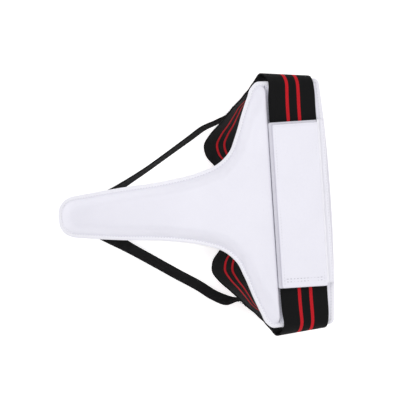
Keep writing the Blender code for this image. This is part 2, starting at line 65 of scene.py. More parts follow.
LINING = 0.0010
BINDING = 0.0008
SEAM_ALLOWANCE = 0.0035
CROWN_HEIGHT = 0.0170
TIP_CROWN_HEIGHT = 0.0125
SHOULDER = 0.0125
WAIST_MARGIN = 0.0014  # flat margin beside the seam with the yoke
WAIST_SHOULDER = 0.0050
WAIST_BULGE = (0.0060, 0.0160)  # how far the saddle leans over that seam, and from how far back
YOKE_FOAM = 0.0030
YOKE_SHOULDER = 0.0040
FLAP_SIZE = (0.0484, 0.1766)
FLAP_Y = -0.0016  # the flap sits a little towards the right hip
FLAP_MARGIN = 0.0084
FLAP_LEVEL = 0.0124  # middle of the flap above the guard's back
HOOK_TAPE = (0.0160, 0.1400, 0.0010)  # width, length and thickness
LOOP_TAPE = (0.0200, 0.1480, 0.0010)
HIP_DROP = 0.0050
FLAT_HALF_WIDTH = 0.6 * WING_HALF_WIDTH
BEND_START = 0.0230
GAP = 0.0003
SEAM_GAP = 0.0006
BINDING_GAP = 0.0007

TIP_X = -GUARD_LENGTH / 2
WAIST_X = GUARD_LENGTH / 2
YOKE_X = WAIST_X - YOKE_DEPTH
SADDLE_X = YOKE_X - SEAM_GAP
SADDLE_LENGTH = SADDLE_X - TIP_X
FLANGE_TOP = LINING + GAP + SKIN
YOKE_TOP = LINING + GAP + YOKE_FOAM + GAP + SKIN
STANDING_BAND = BAND_WIDTH * math.sin(math.radians(79))
BACK_HEIGHT = STANDING_BAND + 0.009
TONGUE_DROP = BACK_HEIGHT - BINDING_GAP - BINDING - 0.0010
FLAP_X = WAIST_X - FLAP_MARGIN - FLAP_SIZE[0] / 2
FLAP_FREE_X = FLAP_X - FLAP_SIZE[0] / 2
FLAP_HINGE_X = FLAP_X + FLAP_SIZE[0] / 2
BAND_X = FLAP_X - 0.0016
BAND_LEVEL = YOKE_TOP + GAP + BAND_THICKNESS / 2
BAND_TOP = BAND_LEVEL + BAND_THICKNESS / 2
HINGE = (FLAP_HINGE_X + 0.0011, 0.0123)  # x, and height above the guard's back

# The saddle's half outline: how far along from its waist side to the tip, and how wide, as shares.
SADDLE_OUTLINE = (
    (0.000, 1.000),
    (0.030, 1.000),
    (0.056, 0.965),
    (0.078, 0.885),
    (0.107, 0.760),
    (0.148, 0.562),
    (0.180, 0.443),
    (0.245, 0.343),
    (0.330, 0.290),
    (0.490, 0.238),
    (0.710, 0.205),
    (1.000, 0.150),
)

# The waistband's fold over the hip: its waist-side edge's x from the yoke's side, y past the wing's end and z from
# the guard's back, then the lean and the skew.
HIP_FOLD = (
    (0.0510, -0.0014, 0.0022, 0, 2),
    (0.0495, 0.0026, -0.0015, 0, 4),
    (0.0470, 0.0038, -0.0075, 1, 6),
    (0.0415, 0.0032, -0.0160, 4, 7),
    (0.0330, 0.0000, -0.0260, 20, 8),
)

# The loop behind the guard: x from the yoke's side, y as a share of the wing's half width, z, lean and skew.
STANDING_LOOP = (
    (0.0212, 0.962, 0.0160, 42, 7),
    (0.0062, 0.928, 0.0055, 62, 5),
    (-0.0108, 0.882, 0.0010, 74, 3),
    (-0.0212, 0.826, 0.0006, 76, 1),
    (-0.0248, 0.755, 0.0006, 70, 0),
    (-0.0280, 0.680, 0.0006, 62, 0),
    (-0.0330, 0.597, 0.0006, 54, 0),
    (-0.0360, 0.518, 0.0006, 49, 0),
    (-0.0335, 0.440, 0.0006, 47, 0),
    (-0.0235, 0.338, 0.0006, 46, 0),
    (-0.0140, 0.180, 0.0006, 46, 0),
    (-0.0110, 0.000, 0.0006, 46, 0),
)
STATIONS = 96  # of the waistband's half, as in the CAD part
STRAP_SEAT = (61, 60, 59)  # stations on the loop that each leg strap's end is sewn along
SEAT_ACROSS = 0.30  # where the strap's middle lies on the band, from its tongue-side edge

# A leg strap's middle line: x as a share of the way from the tip to the yoke, y of the wing's half width and z of the
# loop's height (or None, against the tongue's back), then the twist from level.
LEFT_STRAP = (
    (0.126, 0.075, None, 0),
    (0.180, 0.116, None, 10),
    (0.238, 0.167, 0.200, 52),
    (0.318, 0.246, 0.320, 66),
    (0.425, 0.353, 0.430, 72),
    (0.542, 0.482, 0.480, 72),
    (0.637, 0.588, 0.530, 70),
    (0.702, 0.661, 0.570, 70),
    (0.775, 0.712, 0.630, 74),
)
RIGHT_STRAP = (
    (0.126, 0.075, None, 0),
    (0.180, 0.125, None, 0),
    (0.238, 0.184, None, 4),
    (0.318, 0.278, 0.380, 40),
    (0.425, 0.398, 0.430, 44),
    (0.542, 0.530, 0.480, 44),
    (0.637, 0.634, 0.530, 44),
    (0.702, 0.716, 0.570, 44),
    (0.765, 0.768, 0.620, 46),
)

# At the hip fold the band's tongue-side edge is drawn in, or let out: how far, at which station and over how many.
FOLD_GATHERS = ((0.0052, 47.4, 2.3), (0.0025, 38.5, 3.0), (-0.0020, 52.5, 1.7))


# ---- Shapes shared with the CAD part ----
def smooth_rows(rows, count):
    """count rows, evenly spaced on a smooth curve through the given rows, whose first three numbers are a point."""
    rows = np.array(rows, float)
    steps = np.linalg.norm(np.diff(rows[:, :3], axis=0), axis=1)
    knots = np.concatenate([[0], np.cumsum(steps)])
    slopes = np.gradient(rows, knots, axis=0)
    at = np.linspace(0, knots[-1], count)
    k = np.clip(np.searchsorted(knots, at, side="right") - 1, 0, len(rows) - 2)
    span = (knots[k + 1] - knots[k])[:, None]
    t = (at - knots[k])[:, None] / span
    return (
        (2 * t**3 - 3 * t**2 + 1) * rows[k]
        + (t**3 - 2 * t**2 + t) * span * slopes[k]
        + (3 * t**2 - 2 * t**3) * rows[k + 1]
        + (t**3 - t**2) * span * slopes[k + 1]
    )


def saddle_outline():
    """Points (x, half width) of the saddle from the tip to its waist side."""
    shares = smooth_rows([(along, wide, 0) for along, wide in SADDLE_OUTLINE], 400)
    x = SADDLE_X - shares[::-1, 0] * SADDLE_LENGTH
    half = shares[::-1, 1] * WING_HALF_WIDTH
    near = np.clip((x - TIP_X) / TIP_ROUND, 0, 1)
    half = half * (1 - (1 - near) ** TIP_BLUNTNESS) ** (1 / TIP_BLUNTNESS)
    return np.column_stack([x, half])


def yoke_outline():
    """Points (x, half width) of the yoke from the saddle's side to the waist edge, with a rounded corner."""
    turn = np.radians(np.linspace(0, 88, 14))
    corner = np.column_stack(
        [
            WAIST_X - YOKE_CORNER + YOKE_CORNER * np.sin(turn),
            WING_HALF_WIDTH - YOKE_CORNER + YOKE_CORNER * np.cos(turn),
        ]
    )
    side = np.linspace(YOKE_X, WAIST_X - YOKE_CORNER, 16, endpoint=False)
    return np.vstack([np.column_stack([side, np.full(16, WING_HALF_WIDTH)]), corner])


def spaced(outline, count, first=0.0):
    """count points evenly spaced along an outline, starting a share of it in."""
    lengths = np.concatenate([[0], np.cumsum(np.linalg.norm(np.diff(outline, axis=0), axis=1))])
    at = np.linspace(first * lengths[-1], lengths[-1], count)
    return np.column_stack([np.interp(at, lengths, outline[:, k]) for k in (0, 1)])


def edge_distance(outline, points):
    """The distance of each point (x, y) from the side outline."""
    start, side = outline[:-1], outline[1:] - outline[:-1]
    squared = np.maximum((side**2).sum(axis=1), 1e-12)
    folded = np.column_stack([points[:, 0], np.abs(points[:, 1])])
    offset = folded[:, None, :] - start
    along = np.clip((offset * side).sum(axis=2) / squared, 0, 1)
    return np.linalg.norm(offset - along[..., None] * side, axis=2).min(axis=1)


def bowed(x, y):
    """x moved towards the tongue at the hips, where the waist edge curves."""
    share = np.clip((x - YOKE_X) / YOKE_DEPTH, 0, 1)
    return x - WAIST_BOW * share * (y / WING_HALF_WIDTH) ** 2


def back_height(x, y):
    """Height of the guard's back above the table."""
    hip = np.maximum(0, np.abs(y) - FLAT_HALF_WIDTH) / (WING_HALF_WIDTH - FLAT_HALF_WIDTH)
    bend_x = SADDLE_X - BEND_START
    tongue = np.maximum(0, bend_x - x) / (bend_x - TIP_X)
    return BACK_HEIGHT - HIP_DROP * hip - TONGUE_DROP * tongue**2


def ease(t):
    """A rounded rise from 0 to 1."""
    return np.sin(math.pi / 2 * np.clip(t, 0, 1)) ** 0.75


def across_band(x, y, z, lean, skew):
    """Both edges of the waistband: the waist-side edge is given, with how the webbing leans and is skewed."""
    lean, skew = math.radians(lean), math.radians(skew)
    waist_side = Vector((YOKE_X + x, y, z))
    level_part = math.cos(lean)
    direction = Vector((level_part * math.cos(skew), -level_part * math.sin(skew), -math.sin(lean)))
    return (*(waist_side - BAND_WIDTH * direction), *waist_side)


def front_row(y):
    """Both edges of the waistband where it lies on the yoke."""
    up = back_height(BAND_X, y) + BAND_LEVEL
    half = BAND_WIDTH / 2
    return (BAND_X - half, y, up, BAND_X + half, y, up)


def waistband_rows(count):
    """The band's left half, from the middle of the closure to its middle behind the guard."""
    on_yoke = (0, LOOP_TAPE[1] / 2, FLAT_HALF_WIDTH, WING_HALF_WIDTH - 0.029, WING_HALF_WIDTH - 0.0105)
    rows = [front_row(y) for y in on_yoke]
    rows += [
        across_band(x, WING_HALF_WIDTH + y, BACK_HEIGHT + z, lean, skew) for x, y, z, lean, skew in HIP_FOLD
    ]
    rows += [across_band(x, y * WING_HALF_WIDTH, z, lean, skew) for x, y, z, lean, skew in STANDING_LOOP]
    return smooth_rows(rows, count)


def strap_key(place, ahead, twist, side):
    """Both edges of a leg strap that passes place towards ahead, twisted from level."""
    ahead = ahead / np.linalg.norm(ahead)
    flat = np.cross((0, 0, 1), ahead)
    flat /= np.linalg.norm(flat)
    upright = np.cross(ahead, flat)
    turn = side * math.radians(twist)
    across = flat * math.cos(turn) + upright * math.sin(turn)
    return (*(place - across * STRAP_WIDTH / 2), *(place + across * STRAP_WIDTH / 2))


def sewn_on_band(rows, station, side):
    """Both edges of a leg strap where it lies against the outer face of the waistband's loop."""
    flip = np.array((1, side, 1))
    near, far = rows[station, :3] * flip, rows[station, 3:] * flip
    towards_hip = (rows[station - 1, :3] - rows[station + 1, :3]) * flip
    across = (far - near) / np.linalg.norm(far - near)
    outward = np.cross(towards_hip, across)
    outward /= np.linalg.norm(outward)
    outward *= -math.copysign(1, outward[0])
    place = near + SEAT_ACROSS * (far - near) + outward * (BAND_THICKNESS / 2 + 2 * GAP + STRAP_THICKNESS / 2)
    half = across * STRAP_WIDTH / 2 * side
    return (*(place + half), *(place - half))


def under_tongue(key):
    """The key with both edges laid against the tongue's back, clear of the binding."""
    under = BINDING_GAP + BINDING + 3 * GAP + STRAP_THICKNESS / 2
    x0, y0, _, x1, y1, _ = key
    return (x0, y0, back_height(x0, y0) - under, x1, y1, back_height(x1, y1) - under)


def strap_rows(band_rows, table, side, count):
    """Both edges of a leg strap: side is 1 for the left one and -1 for the right."""
    middle = []
    for along, wide, up, _ in table:
        x, y = TIP_X + along * (YOKE_X - TIP_X), side * wide * WING_HALF_WIDTH
        middle.append((x, y, back_height(x, y) if up is None else up * STANDING_BAND))
    middle = np.array(middle)
    ahead = np.gradient(middle, axis=0)
    keys = []
    for place, direction, row in zip(middle, ahead, table, strict=True):
        key = strap_key(place, direction, row[3], side)
        keys.append(under_tongue(key) if row[2] is None else key)
    keys += [sewn_on_band(band_rows, station, side) for station in STRAP_SEAT]
    return smooth_rows(keys, count)


# ---- Materials ----
def shader_of(name, roughness, colour=None):
    """A new material and its Principled shader."""
    made = bpy.data.materials.new(name)
    made.use_nodes = True
    shader = made.node_tree.nodes["Principled BSDF"]
    shader.inputs["Roughness"].default_value = roughness
    if colour:
        shader.inputs["Base Color"].default_value = (*colour, 1)
    return made, shader


def node(tree, kind, settings=(), **inputs):
    """A node with its properties set, and each input set to a value or linked to an output."""
    made = tree.nodes.new("ShaderNode" + kind)
    for name, value in dict(settings).items():
        setattr(made, name, value)
    for name, value in inputs.items():
        socket = made.inputs[name.replace("_", " ")] if not name.startswith("in") else made.inputs[int(name[2:])]
        if isinstance(value, bpy.types.NodeSocket):
            tree.links.new(value, socket)
        else:
            socket.default_value = value
    return made


def calculate(tree, operation, first, second=0.0, third=0.0):
    """The output of a Math node."""
    return node(tree, "Math", {"operation": operation}, in0=first, in1=second, in2=third).outputs[0]


def mixed(tree, factor, first, second):
    """The output of a colour Mix node."""
    made = node(tree, "Mix", {"data_type": "RGBA"})
    for socket, value in ((made.inputs[0], factor), (made.inputs[6], first), (made.inputs[7], second)):
        if isinstance(value, bpy.types.NodeSocket):
            tree.links.new(value, socket)
        elif hasattr(value, "__len__"):
            socket.default_value = (*value, 1)
        else:
            socket.default_value = value
    return made.outputs[2]


def noise(tree, place, scale, detail=2.0, roughness=0.5):
    found = node(tree, "TexNoise", Vector=place, Scale=scale, Detail=detail, Roughness=roughness)
    return found.outputs["Fac"]


def ranged(tree, value, low, high, to_low, to_high):
    """value moved from one range to another, and held inside it."""
    made = node(tree, "MapRange", in0=value, in1=low, in2=high, in3=to_low, in4=to_high)
    return made.outputs[0]


def bumped(tree, shader, height, depth, strength=1.0):
    made = node(tree, "Bump", Strength=strength, Distance=depth, Height=height)
    tree.links.new(made.outputs[0], shader.inputs["Normal"])


def coated_leather(name, colour, shaded, grain, relief, roughness):
    """Coated white leather: pebbled grain, cloudy colour, faint soiling and a satin coat that varies."""
    made, shader = shader_of(name, roughness)
    tree = made.node_tree
    place = node(tree, "TexCoord").outputs["Object"]
    clouds = noise(tree, place, 22.0, 4.0)
    specks = noise(tree, place, 900.0, 2.0)
    tone = mixed(tree, ranged(tree, clouds, 0.3, 0.7, 0.0, 1.0), colour, shaded)
    dusty = [0.93 * value for value in shaded]
    soiled = mixed(tree, ranged(tree, specks, 0.62, 0.80, 0.0, 0.55), tone, dusty)
    tree.links.new(soiled, shader.inputs["Base Color"])
    cells = node(tree, "TexVoronoi", {"feature": "SMOOTH_F1"}, Vector=place, Scale=grain).outputs["Distance"]
    pores = noise(tree, place, 2.4 * grain, 3.0)
    height = calculate(tree, "ADD", calculate(tree, "MULTIPLY", cells, -0.8), calculate(tree, "MULTIPLY", pores, 0.5))
    bumped(tree, shader, height, relief, 0.75)
    tree.links.new(ranged(tree, pores, 0.3, 0.7, roughness - 0.07, roughness + 0.09), shader.inputs["Roughness"])
    shader.inputs["Coat Weight"].default_value = 0.12
    shader.inputs["Coat Roughness"].default_value = 0.35
    return made


def knitted(name, colour, darker, pitch, sheen):
    """A knitted or brushed fabric with a diagonal net of loops."""
    made, shader = shader_of(name, 0.88)
    tree = made.node_tree
    place = node(tree, "TexCoord").outputs["Object"]
    parts = node(tree, "SeparateXYZ", Vector=place)
    turns = 2 * math.pi / pitch
    waves = []
    for operation in ("ADD", "SUBTRACT"):
        diagonal = calculate(tree, operation, parts.outputs[0], parts.outputs[1])
        waves.append(calculate(tree, "SINE", calculate(tree, "MULTIPLY", diagonal, turns)))
    loops = calculate(tree, "MULTIPLY", *waves)
    fuzz = noise(tree, place, 1400.0, 3.0)
    height = calculate(tree, "ADD", calculate(tree, "MULTIPLY", loops, 0.5), fuzz)
    bumped(tree, shader, height, 0.0003, 0.7)
    # Painted shade: the dips between the loops are coloured darker.
    tone = mixed(tree, ranged(tree, height, 0.0, 1.1, 1.0, 0.0), colour, darker)
    tree.links.new(tone, shader.inputs["Base Color"])
    shader.inputs["Sheen Weight"].default_value = sheen
    shader.inputs["Sheen Roughness"].default_value = 0.5
    return made


def fastening_tape(name, colour, darker, size):
    """Hook-and-loop tape: rows of tiny hooks or a fuzz of loops."""
    made, shader = shader_of(name, 0.85)
    tree = made.node_tree
    place = node(tree, "TexCoord").outputs["Object"]
    dots = node(tree, "TexVoronoi", {"feature": "F1"}, Vector=place, Scale=size, Randomness=0.35).outputs["Distance"]
    fuzz = noise(tree, place, 2.2 * size, 3.0)
    height = calculate(tree, "SUBTRACT", fuzz, dots)
    bumped(tree, shader, height, 0.0006, 0.9)
    # Painted shade: the tape is coloured darker away from the hooks and loops, where it lies low.
    tree.links.new(mixed(tree, ranged(tree, dots, 0.1, 0.7, 0.0, 1.0), colour, darker), shader.inputs["Base Color"])
    shader.inputs["Sheen Weight"].default_value = 0.25
    return made


STRIPES = (0.0203, 0.0324)  # middles of the red stripes, from the band's tongue-side edge
STRIPE_WIDTH = 0.0034
STRIPE_BLUR = 0.0001  # half the width over which red goes over to black
STRIPE_RAGGED = 0.00035  # how far the stripe's edge moves with each rib
CORD_PITCH = 0.00125
RIB_PITCH = 0.00145


def humps(tree, value):
    """A row of rounded humps, one for each whole number that value passes."""
    turned = calculate(tree, "MULTIPLY", value, math.pi)
    return calculate(tree, "ABSOLUTE", calculate(tree, "SINE", turned))


def elastic(name, stripes=()):
    """Woven black elastic: cords along it and ribs across, with red stripes woven in. It reads distances in metres
    along and across the webbing from the mesh's own map."""
    made, shader = shader_of(name, 0.82)
    tree = made.node_tree
    place = node(tree, "UVMap", {"uv_map": "webbing"}).outputs[0]
    parts = node(tree, "SeparateXYZ", Vector=place)
    across, along = parts.outputs[0], parts.outputs[1]
    cord = calculate(tree, "DIVIDE", across, CORD_PITCH)
    rib = calculate(tree, "DIVIDE", along, RIB_PITCH)
    staggered = calculate(tree, "ADD", rib, calculate(tree, "MULTIPLY", calculate(tree, "FLOOR", cord), 0.5))
    ribs, cords = (humps(tree, value) for value in (staggered, cord))
    fuzz = noise(tree, node(tree, "TexCoord").outputs["Object"], 1800.0, 3.0)
    weave = calculate(tree, "MULTIPLY", calculate(tree, "POWER", ribs, 0.7), calculate(tree, "POWER", cords, 0.5))
    height = calculate(tree, "ADD", weave, calculate(tree, "MULTIPLY", fuzz, 0.35))
    bumped(tree, shader, height, 0.00035, 0.85)
    # Painted shade: the weave's dips are coloured darker than its raised ribs and cords, in the black and in the red
    # stripes.
    raised = ranged(tree, height, 0.2, 1.3, 0.0, 1.0)
    tone = mixed(tree, raised, (0.0020, 0.0020, 0.0022), (0.0085, 0.0085, 0.0092))
    ragged = calculate(tree, "MULTIPLY", calculate(tree, "SUBTRACT", ribs, 0.5), STRIPE_RAGGED)
    for middle in stripes:
        off = calculate(tree, "SUBTRACT", calculate(tree, "ADD", across, ragged), middle)
        off = calculate(tree, "ABSOLUTE", off)
        inside = ranged(tree, off, STRIPE_WIDTH / 2 - STRIPE_BLUR, STRIPE_WIDTH / 2 + STRIPE_BLUR, 1.0, 0.0)
        # The red is painted darker in the dips too, as painted shade.
        red = mixed(tree, raised, (0.390, 0.006, 0.012), (0.770, 0.015, 0.027))
        tone = mixed(tree, inside, tone, red)
    tree.links.new(tone, shader.inputs["Base Color"])
    shader.inputs["Specular IOR Level"].default_value = 0.18
    return made


def thread(name, colour):
    """Twisted sewing thread."""
    made, shader = shader_of(name, 0.55)
    tree = made.node_tree
    place = node(tree, "TexCoord").outputs["Object"]
    twist = noise(tree, place, 2600.0, 2.0)
    bumped(tree, shader, twist, 0.0001, 0.6)
    darker = [0.75 * value for value in colour]
    tree.links.new(mixed(tree, twist, colour, darker), shader.inputs["Base Color"])
    return made


WHITE = coated_leather("white_cover", (0.860, 0.850, 0.935), (0.830, 0.820, 0.905), 620.0, 0.00022, 0.44)
WHITE_TAPE = coated_leather("white_binding", (0.890, 0.882, 0.945), (0.860, 0.852, 0.915), 1100.0, 0.00008, 0.40)
# The facing is white leather painted grey: painted shade where it shows beside the flap's free side and left end.
FACING_PAINTED_SHADE = coated_leather("facing_painted_shade", (0.700, 0.692, 0.760), (0.640, 0.632, 0.700), 1100.0, 0.00008, 0.50)
KNIT = knitted("white_knit", (0.80, 0.80, 0.85), (0.62, 0.62, 0.68), 0.0022, 0.3)
HOOKS = fastening_tape("hook_tape", (0.80, 0.80, 0.83), (0.60, 0.60, 0.64), 900.0)
LOOPS = fastening_tape("loop_tape", (0.84, 0.84, 0.86), (0.68, 0.68, 0.72), 1500.0)
BAND = elastic("striped_elastic", STRIPES)
STRAP = elastic("plain_elastic")
WHITE_THREAD = thread("white_thread", (0.80, 0.80, 0.86))
GREY_THREAD = thread("grey_thread", (0.45, 0.45, 0.50))
BLACK_THREAD = thread("black_thread", (0.045, 0.045, 0.050))


# ---- Meshes ----
def linked(name, mesh, surface, body=None):
    """A smooth object with one material, riding on a body."""
    mesh.materials.append(surface)
    mesh.shade_smooth()
    made = bpy.data.objects.new(name, mesh)
    bpy.context.scene.collection.objects.link(made)
    if body:
        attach(made, body)
    return made


def sheet_mesh(name, points, closed_rows=False, closed_columns=False):
    """Quads over a table of points: rows by columns by 3."""
    index = np.arange(points.shape[0] * points.shape[1]).reshape(points.shape[:2])
    if closed_rows:
        index = np.vstack([index, index[:1]])
    if closed_columns:
        index = np.hstack([index, index[:, :1]])
    quads = np.stack([index[:-1, :-1], index[1:, :-1], index[1:, 1:], index[:-1, 1:]], axis=-1)
    mesh = bpy.data.meshes.new(name)
    mesh.from_pydata(points.reshape(-1, 3).tolist(), [], quads.reshape(-1, 4).tolist())
    return mesh


def solidified(made, thickness, offset):
    """The object with its sheet made a closed solid of that thickness."""
    modifier = made.modifiers.new("thickness", "SOLIDIFY")
    modifier.thickness = thickness
    modifier.offset = offset
    return baked(made)


def baked(made):
    """The object with its modifiers applied."""
    shown = made.evaluated_get(bpy.context.evaluated_depsgraph_get())
    mesh = bpy.data.meshes.new_from_object(shown)
    made.modifiers.clear()
    made.data = mesh
    return made


def webbing(name, rows, thickness, surface):
    """A closed length of webbing with rounded edges, along rows of edge points, with the weave's map on it."""
    near, far = rows[:, :3], rows[:, 3:6]
    width = np.linalg.norm(far - near, axis=1)
    across = (far - near) / width[:, None]
    along = np.gradient((near + far) / 2, axis=0)
    up = np.cross(along, across)
    up /= np.linalg.norm(up, axis=1)[:, None]
    length = np.concatenate([[0], np.cumsum(np.linalg.norm(np.diff((near + far) / 2, axis=0), axis=1))])
    inner = np.linspace(0, 1, 26)
    share = inner - np.sin(2 * math.pi * inner) / (2 * math.pi) * 0.85
    edge = np.minimum(share, 1 - share) * width[0] / (thickness / 2)
    rise = np.sqrt(1 - (1 - np.clip(edge, 0, 1)) ** 2) * thickness / 2
    share, rise = np.concatenate([share, share[-2:0:-1]]), np.concatenate([rise, -rise[-2:0:-1]])
    points = near[:, None] + share[None, :, None] * (far - near)[:, None] + rise[None, :, None] * up[:, None]
    mesh = sheet_mesh(name, points, closed_columns=True)
    bm = bmesh.new()
    bm.from_mesh(mesh)
    bmesh.ops.holes_fill(bm, edges=[e for e in bm.edges if e.is_boundary], sides=0)
    bmesh.ops.recalc_face_normals(bm, faces=bm.faces[:])
    chart = bm.loops.layers.uv.new("webbing")
    for face in bm.faces:
        for loop in face.loops:
            row, column = divmod(loop.vert.index, len(share))
            loop[chart].uv = (share[column] * width[0], length[row])
    bm.to_mesh(mesh)
    bm.free()
    return linked(name, mesh, surface)


def along_line(line, pitch):
    """Places and directions of stitches at that pitch along a line of points."""
    steps = np.linalg.norm(np.diff(line, axis=0), axis=1)
    lengths = np.concatenate([[0], np.cumsum(steps)])
    count = max(2, round(lengths[-1] / pitch))
    at = (np.arange(count) + 0.5) * lengths[-1] / count
    places = np.column_stack([np.interp(at, lengths, line[:, k]) for k in range(3)])
    return places, np.gradient(places, axis=0)


def stitches(name, lines, surface, body=None, pitch=0.0032, length=0.0022, radius=0.00028):
    """Rows of stitches: each is a rounded grain of thread that lies along its line."""
    bm = bmesh.new()
    for line in lines:
        for place, ahead in zip(*along_line(np.array(line), pitch), strict=True):
            turn = Vector(ahead).to_track_quat("X", "Z").to_matrix().to_4x4()
            shape = Matrix.Diagonal((length / 2, radius * 1.2, radius, 1))
            bmesh.ops.create_icosphere(bm, subdivisions=2, radius=1, matrix=Matrix.Translation(place) @ turn @ shape)
    mesh = bpy.data.meshes.new(name)
    bm.to_mesh(mesh)
    bm.free()
    return linked(name, mesh, surface, body)


# ---- The padded covers ----
def plan(outline, rows, columns, first=0.0):
    """A table of (x, y) over a mirrored half outline, with more points near its sides."""
    half = spaced(outline, rows, first)
    even = np.linspace(-1, 1, columns)
    share = even + np.sin(math.pi * even) / math.pi * 0.55
    x = np.repeat(half[:, :1], columns, axis=1)
    return np.stack([x, half[:, 1:] * share], axis=-1)


def saddle_rise(outline, flat):
    """Height of the saddle's cover above the guard's back at points (x, y)."""
    x = flat[:, 0]
    share = np.clip((x - TIP_X) / (0.45 * SADDLE_LENGTH), 0, 1)
    crown = TIP_CROWN_HEIGHT + (CROWN_HEIGHT - TIP_CROWN_HEIGHT) * ease(share)
    side = ease((edge_distance(outline, flat) - SEAM_ALLOWANCE) / SHOULDER)
    waist = ease((SADDLE_X - x - WAIST_MARGIN) / WAIST_SHOULDER)
    return FLANGE_TOP + (crown - FLANGE_TOP) * side * waist


def waist_bulge(outline, flat):
    """How far the saddle's cover leans over its waist side's seam, towards the closed flap."""
    reach = np.clip((SADDLE_X - flat[:, 0]) / WAIST_BULGE[1], 0, 1)
    rise = ease((SADDLE_X - flat[:, 0] - WAIST_MARGIN) / WAIST_SHOULDER)
    side = ease((edge_distance(outline, flat) - SEAM_ALLOWANCE) / WAIST_SHOULDER)
    return WAIST_BULGE[0] * rise * side * (1 - reach**2)


def no_bulge(outline, flat):
    return 0.0


def yoke_rise(outline, flat):
    """Height of the yoke's cover above the guard's back at points (x, y)."""
    x = flat[:, 0]
    inset = np.minimum(edge_distance(outline, flat), np.minimum(x - YOKE_X, WAIST_X - x)) - SEAM_ALLOWANCE
    return FLANGE_TOP + (YOKE_TOP - FLANGE_TOP) * ease(inset / YOKE_SHOULDER)


def puckers(flat, inset):
    """Small dents beside a seam, where the thread pulls the cover in."""
    along = flat[:, 0] * 0.8 + np.abs(flat[:, 1])
    fade = np.clip(inset / 0.003, 0, 1) * np.exp(-np.maximum(inset, 0) / 0.004)
    return 0.00028 * fade * np.sin(2 * math.pi * along / 0.0085 + 1.6 * np.sin(along * 90))


def puffed(made, held, swell):
    """Cloth under pressure from inside, held at its seams; no point moves further than swell."""
    rest = np.array([v.co for v in made.data.vertices])
    group = made.vertex_groups.new(name="held")
    for index in np.flatnonzero(held):
        group.add([int(index)], 1.0, "REPLACE")
    cloth = made.modifiers.new("cloth", "CLOTH")
    cloth.settings.quality = 4
    cloth.settings.mass = 0.2
    cloth.settings.tension_stiffness = 30
    cloth.settings.compression_stiffness = 30
    cloth.settings.shear_stiffness = 12
    cloth.settings.bending_stiffness = 2
    cloth.settings.use_pressure = True
    cloth.settings.uniform_pressure_force = 4
    cloth.settings.effector_weights.gravity = 0
    cloth.settings.vertex_group_mass = "held"
    for step in range(1, 15):
        bpy.context.scene.frame_set(step)
    baked(made)
    moved = np.array([v.co for v in made.data.vertices]) - rest
    reach = np.linalg.norm(moved, axis=1)
    limit = swell * np.tanh(reach / swell) / np.maximum(reach, 1e-9)
    made.data.vertices.foreach_set("co", (rest + moved * limit[:, None]).astype(np.float32).ravel())
    made.vertex_groups.clear()
    bpy.context.scene.frame_set(1)
    return made


def pad_cover(name, outline, rise, bulge, size, first, swell):
    """A cover over its padding: crowned between its seams, puffed by the padding and puckered beside the thread."""
    table = plan(outline, *size, first)
    flat = table.reshape(-1, 2)
    height = rise(outline, flat)
    inset = edge_distance(outline, flat) - SEAM_ALLOWANCE
    up = back_height(flat[:, 0], flat[:, 1]) + height - SKIN / 2
    up -= swell * np.clip((height - FLANGE_TOP) / 0.004, 0, 1)
    points = np.column_stack([bowed(flat[:, 0], flat[:, 1]) + bulge(outline, flat), flat[:, 1], up])
    made = linked(name, sheet_mesh(name, points.reshape(*table.shape[:2], 3)), WHITE)
    puffed(made, height < FLANGE_TOP + 0.0002, 1.4 * swell)
    places = np.array([v.co for v in made.data.vertices])
    places[:, 2] += puckers(flat, inset)
    made.data.vertices.foreach_set("co", places.astype(np.float32).ravel())
    smoother = made.modifiers.new("smooth", "SUBSURF")
    smoother.levels = smoother.render_levels = 1
    solidified(made, SKIN, 0)
    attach(made, "guard")
    return made


def make_covers(saddle, yoke):
    cover = pad_cover("saddle_pad", saddle, saddle_rise, waist_bulge, (170, 72), 0.004, 0.0008)
    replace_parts(cover, "saddle_cover", "saddle_foam", "impact_plate", "comfort_foam")
    cover = pad_cover("yoke_pad", yoke, yoke_rise, no_bulge, (44, 120), 0.0, 0.0003)
    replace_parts(cover, "yoke_cover", "yoke_foam")


def make_back_panel(body):
    """The knitted lining against the wearer, quilted in a wide diamond."""
    table = plan(body, 190, 90, 0.003)
    flat = table.reshape(-1, 2)
    x, y = flat[:, 0], flat[:, 1]
    inset = np.minimum(edge_distance(body, flat), WAIST_X - x)
    inside = np.clip((inset - 0.004) / 0.008, 0, 1)
    cell = 0.028
    groove = np.abs(np.sin(math.pi * (x + y) / cell) * np.sin(math.pi * (x - y) / cell)) ** 0.5
    up = back_height(x, y) + LINING / 2 - 0.0009 * inside * (groove - 0.55)
    points = np.column_stack([bowed(x, y), y, up]).reshape(*table.shape[:2], 3)
    made = solidified(linked("back_panel", sheet_mesh("back_panel", points), KNIT), LINING, 0)
    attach(made, "guard")
    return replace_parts(made, "back_lining")


def closed_loop(body, count):
    """The guard's whole outline as a loop of points (x, y), evenly spaced, from the tip round the left side."""
    across_waist = np.column_stack([np.full(40, WAIST_X), np.linspace(body[-1, 1], 0, 41)[1:]])
    across_tip = np.column_stack([np.full(6, body[0, 0]), np.linspace(0, body[0, 1], 7)[:-1]])
    half = spaced(np.vstack([across_tip, body, across_waist]), count)
    return np.vstack([half[:-1], half[:0:-1] * (1, -1)])


def outward_of(loop):
    """The outward direction at each point of a closed loop."""
    ahead = np.roll(loop, -1, axis=0) - np.roll(loop, 1, axis=0)
    ahead /= np.linalg.norm(ahead, axis=1)[:, None]
    return np.column_stack([-ahead[:, 1], ahead[:, 0]])


def raised(places, up):
    """Points above the guard's back at places (x, y) in the flat plan."""
    x, y = places[:, 0], places[:, 1]
    return np.column_stack([bowed(x, y), y, back_height(x, y) + up])


BINDING_REACH = 0.0036  # how far the binding lies over the seam allowance


